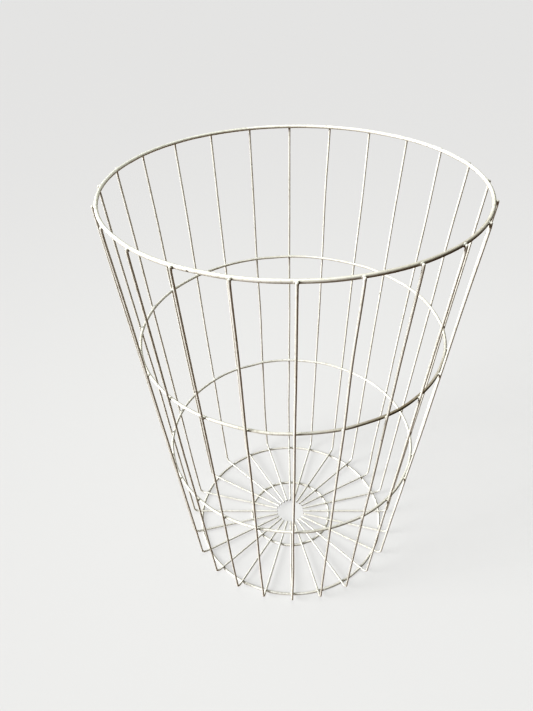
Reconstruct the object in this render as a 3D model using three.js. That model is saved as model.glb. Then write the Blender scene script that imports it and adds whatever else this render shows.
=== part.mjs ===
// Tall, tapered, open-topped basket of welded wire. Millimetres, +Z up.
// The origin is on the basket's axis, on the surface it stands on, and -Y is its front.
// Twenty-four L-shaped staves are welded to five closed rings: the foot of each L is a spoke of the base,
// and its leg is an upright of the wall. The rim lies inside the uprights' tops, both hoops lie inside the
// uprights, and the two base rings lie under the spokes, so they carry the basket.
import * as THREE from "three";

// Driving dimensions.
const HEIGHT = 610; // up to the top of the rim
const RIM_RADIUS = 223; // rings are measured to the centre of their wire
const BASE_OUTER_RADIUS = 157;
const BASE_INNER_RADIUS = 68;
const HUB_RADIUS = 23; // round gap that the ends of the spokes leave in the middle
const CORNER_RADIUS = 171; // where the line of a spoke meets the line of its upright
const BEND_RADIUS = 8;
const STAVE_COUNT = 24;
const RIM_WIRE = 4.5;
const RING_WIRE = 3.8; // both hoops and both base rings
const STAVE_WIRE = 3;
const STAVE_OVERRUN = 0.8; // how far an upright's cut end stands above the middle of the rim's wire
const WELD_GAP = 0.3; // between the surfaces of two wires that are welded where they cross

// How finely the round shapes are faceted.
const WIRE_SIDES = 8;
const RING_SEGMENTS = 3 * STAVE_COUNT; // puts a ring's corner, at its full radius, under every weld
const BEND_STEPS = 5;

// Heights and slope that follow from them.
const RIM_HEIGHT = HEIGHT - RIM_WIRE / 2;
const UPPER_HOOP_HEIGHT = (RIM_HEIGHT * 2) / 3;
const LOWER_HOOP_HEIGHT = RIM_HEIGHT / 3;
const SPOKE_HEIGHT = RING_WIRE + WELD_GAP + STAVE_WIRE / 2;
const STAVE_RADIUS_AT_RIM = RIM_RADIUS + RIM_WIRE / 2 + WELD_GAP + STAVE_WIRE / 2;
const SLOPE = (STAVE_RADIUS_AT_RIM - CORNER_RADIUS) / (RIM_HEIGHT - SPOKE_HEIGHT);
const LEAN = Math.atan(SLOPE); // of an upright, outward from the vertical

// Distance of the middle of an upright from the basket's axis.
function uprightRadius(height) {
  return CORNER_RADIUS + SLOPE * (height - SPOKE_HEIGHT);
}

// Radius of a hoop that lies against the inside of the uprights.
function hoopRadius(height) {
  return uprightRadius(height) - STAVE_WIRE / 2 - WELD_GAP - RING_WIRE / 2;
}

// Polygon that stands for a wire's round section, with flats towards the four axis directions.
function wireSection(diameter, centreX = 0, centreY = 0) {
  const cornerRadius = diameter / 2 / Math.cos(Math.PI / WIRE_SIDES);
  return Array.from({ length: WIRE_SIDES }, (_, side) => {
    const angle = ((side + 0.5) * 2 * Math.PI) / WIRE_SIDES;
    return new THREE.Vector2(
      centreX + cornerRadius * Math.cos(angle),
      centreY + cornerRadius * Math.sin(angle),
    );
  });
}

// Middle line of a stave, in the vertical plane of local X (outward) and Z: down the upright, round the bend
// and in along the spoke. One equal step of the parameter covers each straight, and the rest cover the bend.
class StaveLine extends THREE.Curve {
  constructor() {
    super();
    this.steps = BEND_STEPS + 2;
    const tangentLength = BEND_RADIUS * Math.tan(Math.PI / 4 - LEAN / 2);
    this.bendCentre = new THREE.Vector2(CORNER_RADIUS - tangentLength, SPOKE_HEIGHT + BEND_RADIUS);
    this.top = new THREE.Vector3(uprightRadius(RIM_HEIGHT + STAVE_OVERRUN), 0, RIM_HEIGHT + STAVE_OVERRUN);
    this.spokeEnd = new THREE.Vector3(HUB_RADIUS, 0, SPOKE_HEIGHT);
  }

  // Point of the bend, from 0 where it leaves the upright to 1 where it joins the spoke.
  bendPoint(fraction, target) {
    const angle = -LEAN - fraction * (Math.PI / 2 - LEAN);
    const x = this.bendCentre.x + BEND_RADIUS * Math.cos(angle);
    const z = this.bendCentre.y + BEND_RADIUS * Math.sin(angle);
    return target.set(x, 0, z);
  }

  getPoint(t, target = new THREE.Vector3()) {
    const station = t * this.steps;
    if (station < 1) {
      return target.lerpVectors(this.top, this.bendPoint(0, new THREE.Vector3()), station);
    }
    if (station > BEND_STEPS + 1) {
      const bendEnd = this.bendPoint(1, new THREE.Vector3());
      return target.lerpVectors(bendEnd, this.spokeEnd, station - BEND_STEPS - 1);
    }
    return this.bendPoint((station - 1) / BEND_STEPS, target);
  }

  // Keeps the steps where getPoint puts them, instead of spreading them evenly by length.
  getUtoTmapping(u) {
    return u;
  }
}

function staveGeometry() {
  const line = new StaveLine();
  const section = new THREE.Shape(wireSection(STAVE_WIRE));
  return new THREE.ExtrudeGeometry(section, { steps: line.steps, extrudePath: line, bevelEnabled: false });
}

// Closed ring about the basket's axis, its wire centred at the given radius and height.
function ringGeometry(radius, height, wire) {
  const section = wireSection(wire, radius, height);
  section.push(section[0].clone());
  return new THREE.LatheGeometry(section, RING_SEGMENTS).rotateX(Math.PI / 2);
}

function enamelMaterial() {
  return new THREE.MeshStandardMaterial({ color: 0xedece6, roughness: 0.42, metalness: 0 });
}

function namedMesh(name, geometry) {
  const mesh = new THREE.Mesh(geometry, enamelMaterial());
  mesh.name = name;
  return mesh;
}

function rings() {
  const group = new THREE.Group();
  const upperHoop = ringGeometry(hoopRadius(UPPER_HOOP_HEIGHT), UPPER_HOOP_HEIGHT, RING_WIRE);
  const lowerHoop = ringGeometry(hoopRadius(LOWER_HOOP_HEIGHT), LOWER_HOOP_HEIGHT, RING_WIRE);
  group.add(namedMesh("rim", ringGeometry(RIM_RADIUS, RIM_HEIGHT, RIM_WIRE)));
  group.add(namedMesh("upper_hoop", upperHoop));
  group.add(namedMesh("lower_hoop", lowerHoop));
  group.add(namedMesh("base_outer_ring", ringGeometry(BASE_OUTER_RADIUS, RING_WIRE / 2, RING_WIRE)));
  group.add(namedMesh("base_inner_ring", ringGeometry(BASE_INNER_RADIUS, RING_WIRE / 2, RING_WIRE)));
  return group;
}

// The staves are numbered from the front, counter-clockwise as seen from above.
function staves() {
  const group = new THREE.Group();
  const geometry = staveGeometry();
  for (let i = 0; i < STAVE_COUNT; i += 1) {
    const stave = namedMesh(`stave_${String(i + 1).padStart(2, "0")}`, geometry);
    stave.rotation.z = -Math.PI / 2 + (i * 2 * Math.PI) / STAVE_COUNT;
    group.add(stave);
  }
  return group;
}

const basket = new THREE.Group();
basket.add(rings(), staves());

export default basket;
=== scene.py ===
"""Looks of the wire basket: painted wires, weld fillets, enamel, floor, light and camera. Metres, +Z up."""

import math

import bpy
import numpy as np
from mathutils import Matrix, Vector


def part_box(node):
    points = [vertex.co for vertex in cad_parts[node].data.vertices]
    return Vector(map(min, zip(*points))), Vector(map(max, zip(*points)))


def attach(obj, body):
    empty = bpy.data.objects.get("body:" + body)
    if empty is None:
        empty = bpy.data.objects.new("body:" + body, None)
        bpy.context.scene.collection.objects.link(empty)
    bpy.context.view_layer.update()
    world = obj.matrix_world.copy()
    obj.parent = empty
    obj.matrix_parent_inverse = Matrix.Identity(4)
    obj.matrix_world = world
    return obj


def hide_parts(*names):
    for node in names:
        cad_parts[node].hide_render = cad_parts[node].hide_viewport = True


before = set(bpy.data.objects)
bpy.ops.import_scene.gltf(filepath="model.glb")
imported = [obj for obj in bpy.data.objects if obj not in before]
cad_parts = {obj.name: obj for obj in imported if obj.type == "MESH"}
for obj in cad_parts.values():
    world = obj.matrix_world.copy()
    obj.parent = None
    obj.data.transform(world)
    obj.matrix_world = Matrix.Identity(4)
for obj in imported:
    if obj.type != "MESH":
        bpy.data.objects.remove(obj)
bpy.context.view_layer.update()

BODY = "root"
MM = 0.001
TAU = 2 * math.pi
UP = np.array([0.0, 0.0, 1.0])
RNG = np.random.default_rng(24)


# Measures read from the CAD parts.

def ring_measures(node):
    """Radius to the middle of the wire, height of that middle, and wire diameter of a CAD ring."""
    low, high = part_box(node)
    wire = high.z - low.z
    return (high.x - low.x) / 2 - wire / 2, (high.z + low.z) / 2, wire


RINGS = {node: ring_measures(node) for node in
         ("rim", "upper_hoop", "lower_hoop", "base_outer_ring", "base_inner_ring")}
STAVES = sorted(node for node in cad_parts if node.startswith("stave_"))
RIM_RADIUS, RIM_HEIGHT, RIM_WIRE = RINGS["rim"]
UPPER_RADIUS, UPPER_HEIGHT, RING_WIRE = RINGS["upper_hoop"]
LOWER_RADIUS, LOWER_HEIGHT = RINGS["lower_hoop"][:2]

stave_low, stave_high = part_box(STAVES[0])  # this stave lies in the plane x = 0, towards -Y
STAVE_WIRE = stave_high.x - stave_low.x
STAVE_TOP = stave_high.z
SPOKE_HEIGHT = stave_low.z + STAVE_WIRE / 2
HUB_RADIUS = -stave_high.y
WELD_GAP = stave_low.z - RING_WIRE
BEND_RADIUS = 8 * MM

SLOPE = (UPPER_RADIUS - LOWER_RADIUS) / (UPPER_HEIGHT - LOWER_HEIGHT)  # outward per metre of height
LEAN = math.atan(SLOPE)
STAVE_RADIUS_AT_RIM = RIM_RADIUS + RIM_WIRE / 2 + WELD_GAP + STAVE_WIRE / 2

# How finely the shapes are meshed. The head rows are measured down from the top of a stave, and the foot rows
# from the end of its spoke.
WIRE_SIDES = 16
STEPS_PER_SPAN = 20  # of a ring, from one weld to the next
UPRIGHT_ROWS = 120
BEND_ROWS = 17
SPOKE_ROWS = 36
FILLET_SIDES = 28
FILLET_ROWS = 9
HEAD_ROWS = np.array([0, 0.03, 0.12, 0.3, 0.55, 0.85, 1.2, 1.7, 2.4, 3.2, 4.1, 5.2, 6.5]) * MM
FOOT_ROWS = np.array([1.2, 0.6, 0.25, 0.08, 0]) * MM

# How uneven the wires are. A ring strays by a length, and a stave by a share of the span between two welds.
RING_SWAY = 0.25 * MM
RING_SAG = 0.35 * MM
STAVE_SWAY = 0.0028
STAVE_BULGE = 0.0018
PAINT_RIPPLE = 0.012  # the paint runs thinner by up to twice this share of the wire's radius

# How the ends of a stave and the seam of a ring are formed. Swells are shares of the wire's radius.
HEAD_SWELL = 0.22
HEAD_REACH = 4 * MM
HEAD_SINK = 0.7 * MM  # of the melted head, into the rim
HEAD_ROUNDING = 1.5 * MM
FOOT_ROUNDING = 0.45 * MM
SEAM_SWELL = 0.12
SEAM_REACH = 1.6 * MM
SHEAR_SLANT = 0.35  # steepest slope of the sheared end
SHEAR_REACH = 1.5 * MM
CUT_REACH = 0.9 * MM  # how far the bare metal of the sheared end shows
BEND_REACH = 7 * MM
BEND_WIDER = 0.03  # the wire spreads a little where it is bent
BEND_FLATTER = 0.04

# Where the enamel is dirty, and where shade is painted on it. Grime and painted shade beside a weld are a
# share of those in its crevices, and the stain and painted shade on top of a wire are a share of those under
# it.
WELD_GRIME_AND_SHADE = 0.45
WELD_GRIME_AND_SHADE_REACH = 2.8 * MM
STAIN_AND_SHADE_SIDE = 0.75  # radians from the front towards the right
STAIN_AND_SHADE_SPREAD = 0.13  # how slowly it fades along the ring
STAIN_AND_SHADE_ON_TOP = 0.35
STAIN_ALL_ROUND = 0.06

# Colours of the coat, and of what lies under it.
CREAM = (0.87, 0.867, 0.838, 1)
AGED_CREAM = (0.80, 0.793, 0.745, 1)
WORN_CREAM = (0.58, 0.565, 0.50, 1)
# Brown of the stain, which is also painted shade under the rings at the front right.
STAIN_AND_SHADE_BROWN = (0.26, 0.215, 0.15, 1)
# Near black of the grime, which is also painted shade in the crevices at the welds.
GRIME_AND_SHADE = (0.075, 0.062, 0.04, 1)
DARK_STEEL = (0.045, 0.038, 0.032, 1)
RUSTY_STEEL = (0.10, 0.062, 0.04, 1)


def upright_radius(height):
    """Distance of the middle of an upright from the axis of the basket."""
    return STAVE_RADIUS_AT_RIM - SLOPE * (RIM_HEIGHT - height)


def stave_angle(number):
    """The staves are numbered from the front, counter-clockwise as seen from above."""
    return -TAU / 4 + number * TAU / len(STAVES)


def outward(angle):
    return np.array([math.cos(angle), math.sin(angle), 0.0])


def sideways(angle):
    return np.array([-math.sin(angle), math.cos(angle), 0.0])


# Meshes and pieces.

def mesh_object(name, vertices, faces, material):
    mesh = bpy.data.meshes.new(name)
    mesh.from_pydata([tuple(v) for v in vertices], [], faces)
    mesh.shade_smooth()
    mesh.materials.append(material)
    obj = bpy.data.objects.new(name, mesh)
    bpy.context.scene.collection.objects.link(obj)
    return obj


def painted_piece(name, vertices, faces, material, wear, *nodes):
    """A painted piece of the basket, in place of the given CAD nodes.

    wear says of each vertex how deep it lies in a crevice, how stained it is and how far it is cut bare; the
    first two also paint shade there. What it leaves out is 0.
    """
    obj = mesh_object(name, vertices, faces, material)
    for key in ("crevice_grime_and_shade", "stain_and_shade", "cut"):
        values = wear.get(key, np.zeros(len(vertices)))
        attribute = obj.data.attributes.new(key, "FLOAT", "POINT")
        attribute.data.foreach_set("value", values.astype(np.float32))
    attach(obj, BODY)
    if nodes:
        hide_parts(*nodes)


def strip_faces(rows, columns, closed):
    """Quads between rows of a grid whose columns close on themselves, and whose rows may."""
    faces = []
    for i in range(rows if closed else rows - 1):
        a, b = i * columns, (i + 1) % rows * columns
        for k in range(columns):
            n = (k + 1) % columns
            faces.append((a + k, a + n, b + n, b + k))
    return faces


def pole_faces(rows, columns):
    """Triangles that close the first and the last row, onto the two vertices that follow the grid."""
    first, last = rows * columns, rows * columns + 1
    end = (rows - 1) * columns
    faces = []
    for k in range(columns):
        n = (k + 1) % columns
        faces.append((first, n, k))
        faces.append((last, end + k, end + n))
    return faces


def tube(centres, across, over, wide, high, closed):
    """A wire through centres, of oval section, with half-widths wide along across and high along over."""
    turn = (np.arange(WIRE_SIDES) + 0.5) * TAU / WIRE_SIDES
    section = (np.cos(turn)[None, :, None] * (across * wide[:, None])[:, None, :]
               + np.sin(turn)[None, :, None] * (over * high[:, None])[:, None, :])
    vertices = (centres[:, None, :] + section).reshape(-1, 3)
    faces = strip_faces(len(centres), WIRE_SIDES, closed)
    if not closed:
        vertices = np.concatenate([vertices, centres[[0, -1]]])
        faces += pole_faces(len(centres), WIRE_SIDES)
    return vertices, faces


def ripple(turn, frequencies):
    """A smooth random wave between -1 and 1 that repeats after one turn."""
    waves = [math.sqrt(1 / f) * np.cos(f * turn + RNG.uniform(0, TAU)) for f in frequencies]
    return sum(waves) / sum(math.sqrt(1 / f) for f in frequencies)


def painted(turn, frequencies):
    """Radius of a wire along its length, as a share of the full one: the paint runs thinner in places."""
    return 1 - PAINT_RIPPLE * (1 + ripple(turn, frequencies))


def bow(station, stops, amounts):
    """Bends between neighbouring stops by the given amounts, with nothing at the stops themselves."""
    shift = np.zeros(len(station))
    for start, end, amount in zip(stops[:-1], stops[1:], amounts):
        inside = (station > start) & (station < end)
        shift[inside] = amount * np.sin(math.pi * (station[inside] - start) / (end - start)) ** 2
    return shift


# Welds, where a ring meets a stave.

class Crossing:
    """Place of a weld: x runs along the ring, y along the stave, and z from the ring to the stave."""

    def __init__(self, node, number):
        radius, height, wire = RINGS[node]
        angle = stave_angle(number)
        out = outward(angle)
        self.x = sideways(angle)
        if node.startswith("base"):
            self.y = -out
        else:
            self.y = math.sin(LEAN) * out + math.cos(LEAN) * UP
        self.z = np.cross(self.x, self.y)
        self.ring_wire = wire
        self.middle = radius * out + height * UP + (wire + WELD_GAP) / 2 * self.z

    def place(self, local):
        return self.middle + local @ np.array([self.x, self.y, self.z])


CROSSINGS = {node: [Crossing(node, i) for i in range(len(STAVES))] for node in RINGS}
WELD_CENTRES = np.array([crossing.middle for node in RINGS for crossing in CROSSINGS[node]])


def weld_grime_and_shade(vertices):
    """How deep in the grime and painted shade beside a weld each vertex of a wire lies."""
    nearest = np.full(len(vertices), np.inf)
    for centre in WELD_CENTRES:
        nearest = np.minimum(nearest, ((vertices - centre) ** 2).sum(axis=1))
    return WELD_GRIME_AND_SHADE * np.exp(-nearest / WELD_GRIME_AND_SHADE_REACH ** 2)


def fillet(crossing, reach, rise, wrap):
    """Collar of weld metal and paint between two crossing wires, closed by two caps inside the wires.

    reach is how far it spreads along the wires from the middle, except up the stave, where rise is. wrap is
    how far it spreads round them, in radians. The corners at its waist, beside the stave, are the crevices.
    """
    turn = np.arange(FILLET_SIDES) * TAU / FILLET_SIDES
    uneven = 1 + 0.10 * ripple(turn, (1, 2, 3))
    lengthwise = np.where(np.sin(turn) > 0, rise, reach) * uneven * np.sin(turn)
    ring = crossing.ring_wire / 2
    stave = STAVE_WIRE / 2
    gap = WELD_GAP / 2
    foot_sink = 0.02 * MM
    cap_sink = 0.3 * MM
    cap_spread = 1.15
    waist = 0.95  # of the wires' half-widths

    def foot_on_ring(spread, sink):
        around = wrap * spread * np.sin(turn)
        return np.stack([reach * spread * uneven * np.cos(turn),
                         (ring - sink) * np.sin(around),
                         (ring - sink) * np.cos(around) - ring - gap], 1)

    def foot_on_stave(spread, sink):
        around = wrap * spread * np.cos(turn)
        return np.stack([(stave - sink) * np.sin(around),
                         spread * lengthwise,
                         gap + stave - (stave - sink) * np.cos(around)], 1)

    low, high = foot_on_ring(1, foot_sink), foot_on_stave(1, foot_sink)
    throat = np.stack([waist * stave * np.sin(wrap * np.cos(turn)),
                       waist * ring * np.sin(wrap * np.sin(turn)),
                       gap * (np.sin(turn) ** 2 - np.cos(turn) ** 2)], 1)
    rows = [foot_on_ring(cap_spread, cap_sink)]
    crevice_grime_and_shade = [np.zeros(FILLET_SIDES)]
    for s in np.linspace(0, 1, FILLET_ROWS):
        rows.append((1 - s) ** 2 * low + 2 * s * (1 - s) * throat + s ** 2 * high)
        # Painted shade with grime: darkest at the collar's waist, in the crevices beside the stave.
        crevice_grime_and_shade.append(np.exp(-((s - 0.5) / 0.25) ** 2) * (0.3 + 0.7 * np.cos(turn) ** 2))
    rows.append(foot_on_stave(cap_spread, cap_sink))
    crevice_grime_and_shade.append(np.zeros(FILLET_SIDES))
    poles = np.array([[0, 0, -gap - ring / 2], [0, 0, gap + stave / 2]])
    vertices = crossing.place(np.concatenate(rows + [poles]))
    faces = strip_faces(len(rows), FILLET_SIDES, False) + pole_faces(len(rows), FILLET_SIDES)
    return vertices, faces, np.concatenate(crevice_grime_and_shade + [np.zeros(len(poles))])


def welds(name, node, material, reach, rise, wrap):
    """All the weld fillets of one ring, as one piece."""
    all_vertices, all_faces, all_crevices, count = [], [], [], 0
    for crossing in CROSSINGS[node]:
        size = RNG.uniform(0.85, 1.1)
        vertices, faces, crevice_grime_and_shade = fillet(crossing, reach * size, rise * size, wrap * size)
        all_vertices.append(vertices)
        all_faces += [tuple(count + corner for corner in face) for face in faces]
        all_crevices.append(crevice_grime_and_shade)
        count += len(vertices)
    wear = {"crevice_grime_and_shade": np.concatenate(all_crevices)}
    painted_piece(name, np.concatenate(all_vertices), all_faces, material, wear)


# Wires.

def ring_stain_and_shade(turn, underside):
    """How stained and darkened by painted shade a ring is, at each turn from the front. underside is 0 on top
    of the wire, 1 under it.
    """
    beside = np.exp((np.cos(turn - STAIN_AND_SHADE_SIDE) - 1) / STAIN_AND_SHADE_SPREAD)
    return beside * (STAIN_AND_SHADE_ON_TOP + (1 - STAIN_AND_SHADE_ON_TOP) * np.clip(underside, 0, 1)) + STAIN_ALL_ROUND


def ring_wire(name, node, material, sway, stain_and_shade_strength):
    """A ring bent from one wire and butt welded.

    sway is 1 for a ring whose wire may rise and fall between its welds, and 0 for one that lies flat. The
    last argument says how much brown stain and painted shade the underside has at the front right; above 1 it
    darkens like the crevices.
    """
    radius, height, wire = RINGS[node]
    count = STEPS_PER_SPAN * len(STAVES)
    turn = np.arange(count) * TAU / count
    stops = np.arange(len(STAVES) + 1) * TAU / len(STAVES)
    radial = bow(turn, stops, RNG.normal(0, RING_SWAY, len(STAVES)))
    rise = sway * bow(turn, stops, RNG.normal(0, RING_SAG, len(STAVES)))
    paint = painted(turn, (11, 23, 41, 67))
    seam = (RNG.integers(len(STAVES)) + 0.5) * TAU / len(STAVES)
    flash = SEAM_SWELL * np.exp(-((turn - seam) * radius / SEAM_REACH) ** 2)
    angle = turn - TAU / 4
    across = np.stack([np.cos(angle), np.sin(angle), 0 * angle], 1)
    over = np.tile(UP, (count, 1))
    centres = (radius + radial)[:, None] * across + (height + rise)[:, None] * UP
    vertices, faces = tube(centres, -across, over, wire / 2 * (paint + flash), wire / 2 * paint, True)
    # Painted shade: the wire is darker underneath than on top, most of all at the front right.
    underside = 0.5 + (height - vertices[:, 2]) / wire
    stain_and_shade = stain_and_shade_strength * ring_stain_and_shade(np.repeat(turn, WIRE_SIDES), underside)
    wear = {"crevice_grime_and_shade": weld_grime_and_shade(vertices), "stain_and_shade": stain_and_shade}
    painted_piece(name, vertices, faces, material, wear, node)


def stave_line(top, hub):
    """Middle line of a stave as (radius, height), from the top of the upright to the end of the spoke."""
    tangent = BEND_RADIUS * math.tan(TAU / 8 - LEAN / 2)
    centre = np.array([upright_radius(SPOKE_HEIGHT) - tangent, SPOKE_HEIGHT + BEND_RADIUS])
    turn = np.linspace(-LEAN, -TAU / 4, BEND_ROWS)
    bend = centre + BEND_RADIUS * np.stack([np.cos(turn), np.sin(turn)], 1)
    near_top = top - HEAD_ROWS
    heights = np.concatenate([near_top, np.linspace(near_top[-1], bend[0, 1], UPRIGHT_ROWS)[1:-1]])
    upright = np.stack([upright_radius(heights), heights], 1)
    near_hub = hub + FOOT_ROWS
    inward = np.concatenate([np.linspace(bend[-1, 0], near_hub[0], SPOKE_ROWS)[1:-1], near_hub])
    spoke = np.stack([inward, np.full(len(inward), SPOKE_HEIGHT)], 1)
    return np.concatenate([upright, bend, spoke])


def length_at(line, length, radius, height):
    """Length along a stave's line up to its point that is nearest to the given radius and height."""
    return length[np.argmin((line[:, 0] - radius) ** 2 + (line[:, 1] - height) ** 2)]


def stave_bows(line, length):
    """How far a stave bends to the side and outwards, between its welds."""
    welded = [(upright_radius(height), height) for height in (RIM_HEIGHT, UPPER_HEIGHT, LOWER_HEIGHT)]
    welded += [(RINGS[ring][0], SPOKE_HEIGHT) for ring in ("base_outer_ring", "base_inner_ring")]
    stops = [length_at(line, length, radius, height) for radius, height in welded]
    spans = np.diff(stops)
    side = bow(length, stops, RNG.normal(0, STAVE_SWAY, len(spans)) * spans)
    out = bow(length, stops, RNG.normal(0, STAVE_BULGE, len(spans)) * spans)
    return side, out


def rounded(distance, depth):
    """Radius of a wire's end that is rounded over depth, as a share of its full radius."""
    left = np.clip(1 - distance / depth, 0, 1)
    return np.sqrt(1 - 0.98 * left ** 2)  # so that a small flat stays at the very end


def stave_wire(name, node, number, material):
    """An L of round wire: its head melted onto the rim, its foot cut off near the hub."""
    top = STAVE_TOP + RNG.uniform(0.1, 0.7) * MM
    hub = HUB_RADIUS + RNG.uniform(-1.2, 1.0) * MM
    line = stave_line(top, hub)
    length = np.concatenate([[0], np.cumsum(np.linalg.norm(np.diff(line, axis=0), axis=1))])
    to_foot = length[-1] - length
    side, out = stave_bows(line, length)

    radial, along = outward(stave_angle(number)), sideways(stave_angle(number))
    centres = line[:, :1] * radial + line[:, 1:] * UP
    tangents = np.gradient(centres, length, axis=0)
    tangents /= np.linalg.norm(tangents, axis=1)[:, None]
    over = np.cross(tangents, along)

    melted = np.exp(-(length / HEAD_REACH) ** 2)
    swell = HEAD_SWELL * melted
    end = rounded(length, HEAD_ROUNDING) * rounded(to_foot, FOOT_ROUNDING)
    paint = painted(TAU * length / length[-1], (13, 29, 53, 89))
    bend = np.exp(-((length - length_at(line, length, upright_radius(0), 0)) / BEND_REACH) ** 2)
    size = STAVE_WIRE / 2 * paint * end
    wide = size * (1 + swell + BEND_WIDER * bend)
    high = size * (1 + swell - BEND_FLATTER * bend)
    centres = centres + side[:, None] * along + (out - HEAD_SINK * melted)[:, None] * over
    slant = np.clip(1 - to_foot / SHEAR_REACH, 0, 1) * RNG.uniform(-SHEAR_SLANT, SHEAR_SLANT)
    vertices, faces = tube(centres, along + slant[:, None] * tangents, over, wide, high, False)

    cut = np.repeat(np.clip(1 - to_foot / CUT_REACH, 0, 1), WIRE_SIDES)
    wear = {"crevice_grime_and_shade": weld_grime_and_shade(vertices), "cut": np.append(cut, [0, 1])}
    painted_piece(name, vertices, faces, material, wear, node)


# Materials.

class Shader:
    """Nodes of one material, made and joined in short steps."""

    def __init__(self, name):
        self.material = bpy.data.materials.new(name)
        self.material.use_nodes = True
        self.tree = self.material.node_tree
        self.surface = self.tree.nodes["Principled BSDF"]
        self.place = self.node("ShaderNodeTexCoord").outputs["Object"]

    def node(self, kind, **settings):
        made = self.tree.nodes.new(kind)
        for key, value in settings.items():
            setattr(made, key, value)
        return made

    def feed(self, socket, value):
        if isinstance(value, bpy.types.NodeSocket):
            self.tree.links.new(value, socket)
        else:
            socket.default_value = value

    def math(self, operation, *values):
        made = self.node("ShaderNodeMath", operation=operation)
        for socket, value in zip(made.inputs, values):
            self.feed(socket, value)
        return made.outputs[0]

    def noise(self, scale, detail=2.0, roughness=0.5):
        """Noise from 0 to 1, with about scale spots in a metre."""
        made = self.node("ShaderNodeTexNoise")
        self.feed(made.inputs["Vector"], self.place)
        made.inputs["Scale"].default_value = scale
        made.inputs["Detail"].default_value = detail
        made.inputs["Roughness"].default_value = roughness
        return made.outputs["Fac"]

    def attribute(self, name):
        return self.node("ShaderNodeAttribute", attribute_name=name).outputs["Fac"]

    def between(self, value, low, high, to_low=0.0, to_high=1.0):
        """Smooth step from to_low, where value is low, up to to_high, where it is high."""
        made = self.node("ShaderNodeMapRange", interpolation_type="SMOOTHSTEP")
        for socket, entry in zip(made.inputs, (value, low, high, to_low, to_high)):
            self.feed(socket, entry)
        return made.outputs[0]

    def blend(self, amount, first, second):
        made = self.node("ShaderNodeMix", data_type="RGBA")
        self.feed(made.inputs[0], amount)
        self.feed(made.inputs[6], first)
        self.feed(made.inputs[7], second)
        return made.outputs[2]


def coat_tone(s, stain_and_shade):
    """Uneven cream, rubbed dull in worn patches, and brown where it is stained and where shade is painted
    under the rings.
    """
    tone = s.blend(s.between(s.noise(16, 3), 0.38, 0.64), CREAM, AGED_CREAM)
    rubbed = s.between(s.noise(22, 2), 0.35, 0.65, 0.2, 0.85)
    tone = s.blend(s.between(s.noise(230, 4, 0.65), 0.47, 0.68, 0, rubbed), tone, WORN_CREAM)
    # Brown stain, which is also painted shade on the undersides at the front right.
    brown = s.math("MULTIPLY", stain_and_shade, s.between(s.noise(14, 3), 0.35, 0.6, 0.75, 1))
    return s.blend(brown, tone, STAIN_AND_SHADE_BROWN)


def chips(s, deep):
    """Where the coat is gone: in small spots, more of them in the crevices, and on the sheared ends."""
    threshold = s.math("SUBTRACT", 0.735, s.math("MULTIPLY", deep, 0.07))
    spots = s.math("SUBTRACT", s.noise(170, 2.5, 0.55), threshold)
    return s.math("MAXIMUM", s.between(spots, 0.0, 0.012), s.between(s.attribute("cut"), 0.35, 0.7))


def roughness(s, grime_and_shade, chip):
    rough = s.between(s.noise(90, 3), 0.3, 0.7, 0.26, 0.38)
    rough = s.math("ADD", rough, s.math("MULTIPLY", grime_and_shade, 0.25))
    return s.math("ADD", rough, s.math("MULTIPLY", chip, 0.3))


def relief(s, chip):
    """Fine bumps of the paint, and the steps down into the chips."""
    height = s.math("MULTIPLY", s.noise(1400, 3, 0.6), 0.25)
    height = s.math("ADD", height, s.math("MULTIPLY", s.noise(260, 2), 0.6))
    height = s.math("SUBTRACT", height, chip)
    bump = s.node("ShaderNodeBump")
    bump.inputs["Strength"].default_value = 0.5
    bump.inputs["Distance"].default_value = 0.15 * MM
    s.feed(bump.inputs["Height"], height)
    return bump.outputs["Normal"]


def enamel():
    """Old cream enamel on steel wire: uneven tone, grime and painted shade in the crevices and under the
    rings, a few chips down to dark metal.
    """
    s = Shader("cream_enamel")
    stain_and_shade = s.attribute("stain_and_shade")
    # Painted shade with grime: the crevices and the most stained undersides take the near-black colour.
    deep = s.math("ADD", s.attribute("crevice_grime_and_shade"), s.between(stain_and_shade, 0.9, 2.0, 0, 0.85))
    grime_and_shade = s.math("MULTIPLY", deep, s.between(s.noise(300, 3, 0.6), 0.3, 0.7, 0.45, 1.0))
    chip = chips(s, deep)
    coat = s.blend(grime_and_shade, coat_tone(s, stain_and_shade), GRIME_AND_SHADE)
    metal = s.blend(s.between(s.noise(700, 2), 0.4, 0.6), DARK_STEEL, RUSTY_STEEL)
    s.feed(s.surface.inputs["Base Color"], s.blend(chip, coat, metal))
    s.feed(s.surface.inputs["Roughness"], roughness(s, grime_and_shade, chip))
    s.feed(s.surface.inputs["Normal"], relief(s, chip))
    return s.material


def split_by_camera(tree, lighting, seen, output):
    """Shows the camera one shader, and lets another stand in for it in all the light that goes round."""
    mix = tree.nodes.new("ShaderNodeMixShader")
    tree.links.new(tree.nodes.new("ShaderNodeLightPath").outputs["Is Camera Ray"], mix.inputs[0])
    tree.links.new(lighting.outputs[0], mix.inputs[1])
    tree.links.new(seen.outputs[0], mix.inputs[2])
    tree.links.new(mix.outputs[0], tree.nodes[output].inputs["Surface"])


def floor_paint():
    """Pale to the camera, with a glow of its own, and brown like a wooden table in the light it returns."""
    material = bpy.data.materials.new("floor_paint")
    material.use_nodes = True
    tree = material.node_tree
    pale = tree.nodes["Principled BSDF"]
    pale.inputs["Base Color"].default_value = (0.24, 0.24, 0.24, 1)
    pale.inputs["Emission Color"].default_value = (0.43, 0.43, 0.43, 1)
    pale.inputs["Emission Strength"].default_value = 1.0
    pale.inputs["Roughness"].default_value = 0.9
    pale.inputs["Specular IOR Level"].default_value = 0.0
    brown = tree.nodes.new("ShaderNodeBsdfDiffuse")
    brown.inputs["Color"].default_value = (0.17, 0.10, 0.05, 1)
    split_by_camera(tree, brown, pale, "Material Output")
    return material


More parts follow.
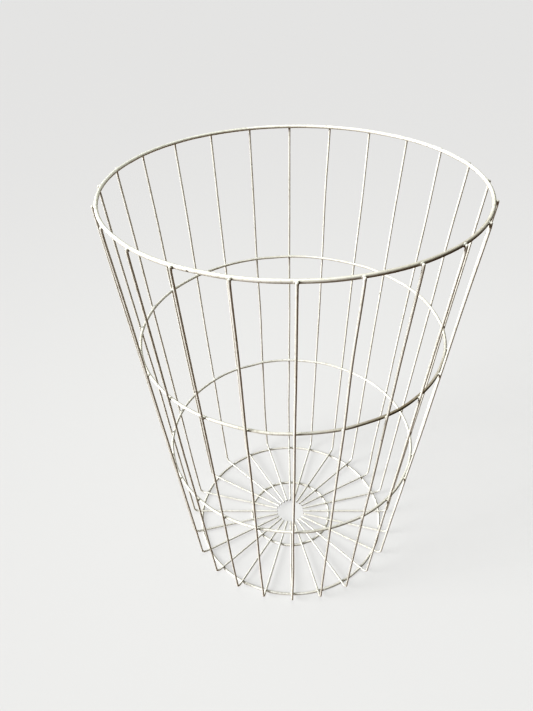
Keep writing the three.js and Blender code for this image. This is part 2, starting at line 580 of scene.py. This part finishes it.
# Stage: floor, light and camera.

def make_floor():
    half = 40.0
    corners = [(-half, -half, 0), (half, -half, 0), (half, half, 0), (-half, half, 0)]
    mesh_object("floor", corners, [(0, 1, 2, 3)], floor_paint())


def make_light(name, kind, strength, colour):
    light = bpy.data.lights.new(name, kind)
    light.energy = strength
    light.color = colour
    obj = bpy.data.objects.new(name, light)
    bpy.context.scene.collection.objects.link(obj)
    return obj


def make_sun(name, towards, strength, spread):
    """Light from far away, out of the given direction. spread is its width in degrees, and makes it soft."""
    sun = make_light(name, "SUN", strength, (1.0, 1.0, 0.985))
    sun.data.angle = math.radians(spread)
    sun.rotation_euler = Vector(towards).to_track_quat("Z", "Y").to_euler()


def make_overhead(place, size, power):
    """A round lamp above the basket, facing down: it reaches the inner side of the rings, not the outer."""
    lamp = make_light("overhead", "AREA", power, (0.96, 1.0, 0.92))
    lamp.data.shape = "DISK"
    lamp.data.size = size
    lamp.location = place


def make_world():
    """Weak warm fill. The camera sees a pale sky beyond the floor."""
    world = bpy.data.worlds.new("world")
    bpy.context.scene.world = world
    world.use_nodes = True
    tree = world.node_tree
    fill = tree.nodes["Background"]
    fill.inputs["Color"].default_value = (1.0, 0.9, 0.76, 1)
    fill.inputs["Strength"].default_value = 0.075
    backdrop = tree.nodes.new("ShaderNodeBackground")
    backdrop.inputs["Color"].default_value = (0.566, 0.566, 0.566, 1)
    split_by_camera(tree, fill, backdrop, "World Output")


def make_camera():
    """Looks down into the basket from the front, above the height of its rim."""
    camera = bpy.data.cameras.new("camera")
    camera.lens = 29.48
    obj = bpy.data.objects.new("camera", camera)
    bpy.context.scene.collection.objects.link(obj)
    yaw = Matrix.Rotation(0.0332, 4, "Z")
    pitch = Matrix.Rotation(0.9160, 4, "X")
    roll = Matrix.Rotation(-0.0270, 4, "Z")
    obj.matrix_world = Matrix.Translation((-0.0134, -0.6575, 0.8616)) @ (yaw @ pitch @ roll)
    bpy.context.scene.camera = obj


make_camera()
make_floor()
make_sun("window", towards=(-0.875, -0.285, 0.39), strength=3.7, spread=26)
make_sun("window_glow", towards=(-0.86, -0.25, 0.44), strength=0.2, spread=60)
make_overhead(place=(-0.05, 0.0, 1.4), size=0.8, power=4.6)
make_world()
bpy.context.scene.view_settings.view_transform = "Standard"
bpy.context.scene.view_settings.look = "High Contrast"

coating = enamel()
# The last number paints brown stain and shade under each ring at the front right.
ring_wire("rim_wire", "rim", coating, sway=0, stain_and_shade_strength=1.2)
ring_wire("upper_hoop_wire", "upper_hoop", coating, sway=1, stain_and_shade_strength=2.2)
ring_wire("lower_hoop_wire", "lower_hoop", coating, sway=1, stain_and_shade_strength=0.3)
ring_wire("base_outer_ring_wire", "base_outer_ring", coating, sway=0, stain_and_shade_strength=0)
ring_wire("base_inner_ring_wire", "base_inner_ring", coating, sway=0, stain_and_shade_strength=0)
for number, node in enumerate(STAVES):
    stave_wire(node + "_wire", node, number, coating)
welds("rim_welds", "rim", coating, reach=3.4 * MM, rise=1.2 * MM, wrap=1.3)
for node in ("upper_hoop", "lower_hoop", "base_outer_ring", "base_inner_ring"):
    welds(node.removesuffix("_ring") + "_welds", node, coating, reach=2.4 * MM, rise=2.4 * MM, wrap=1.1)
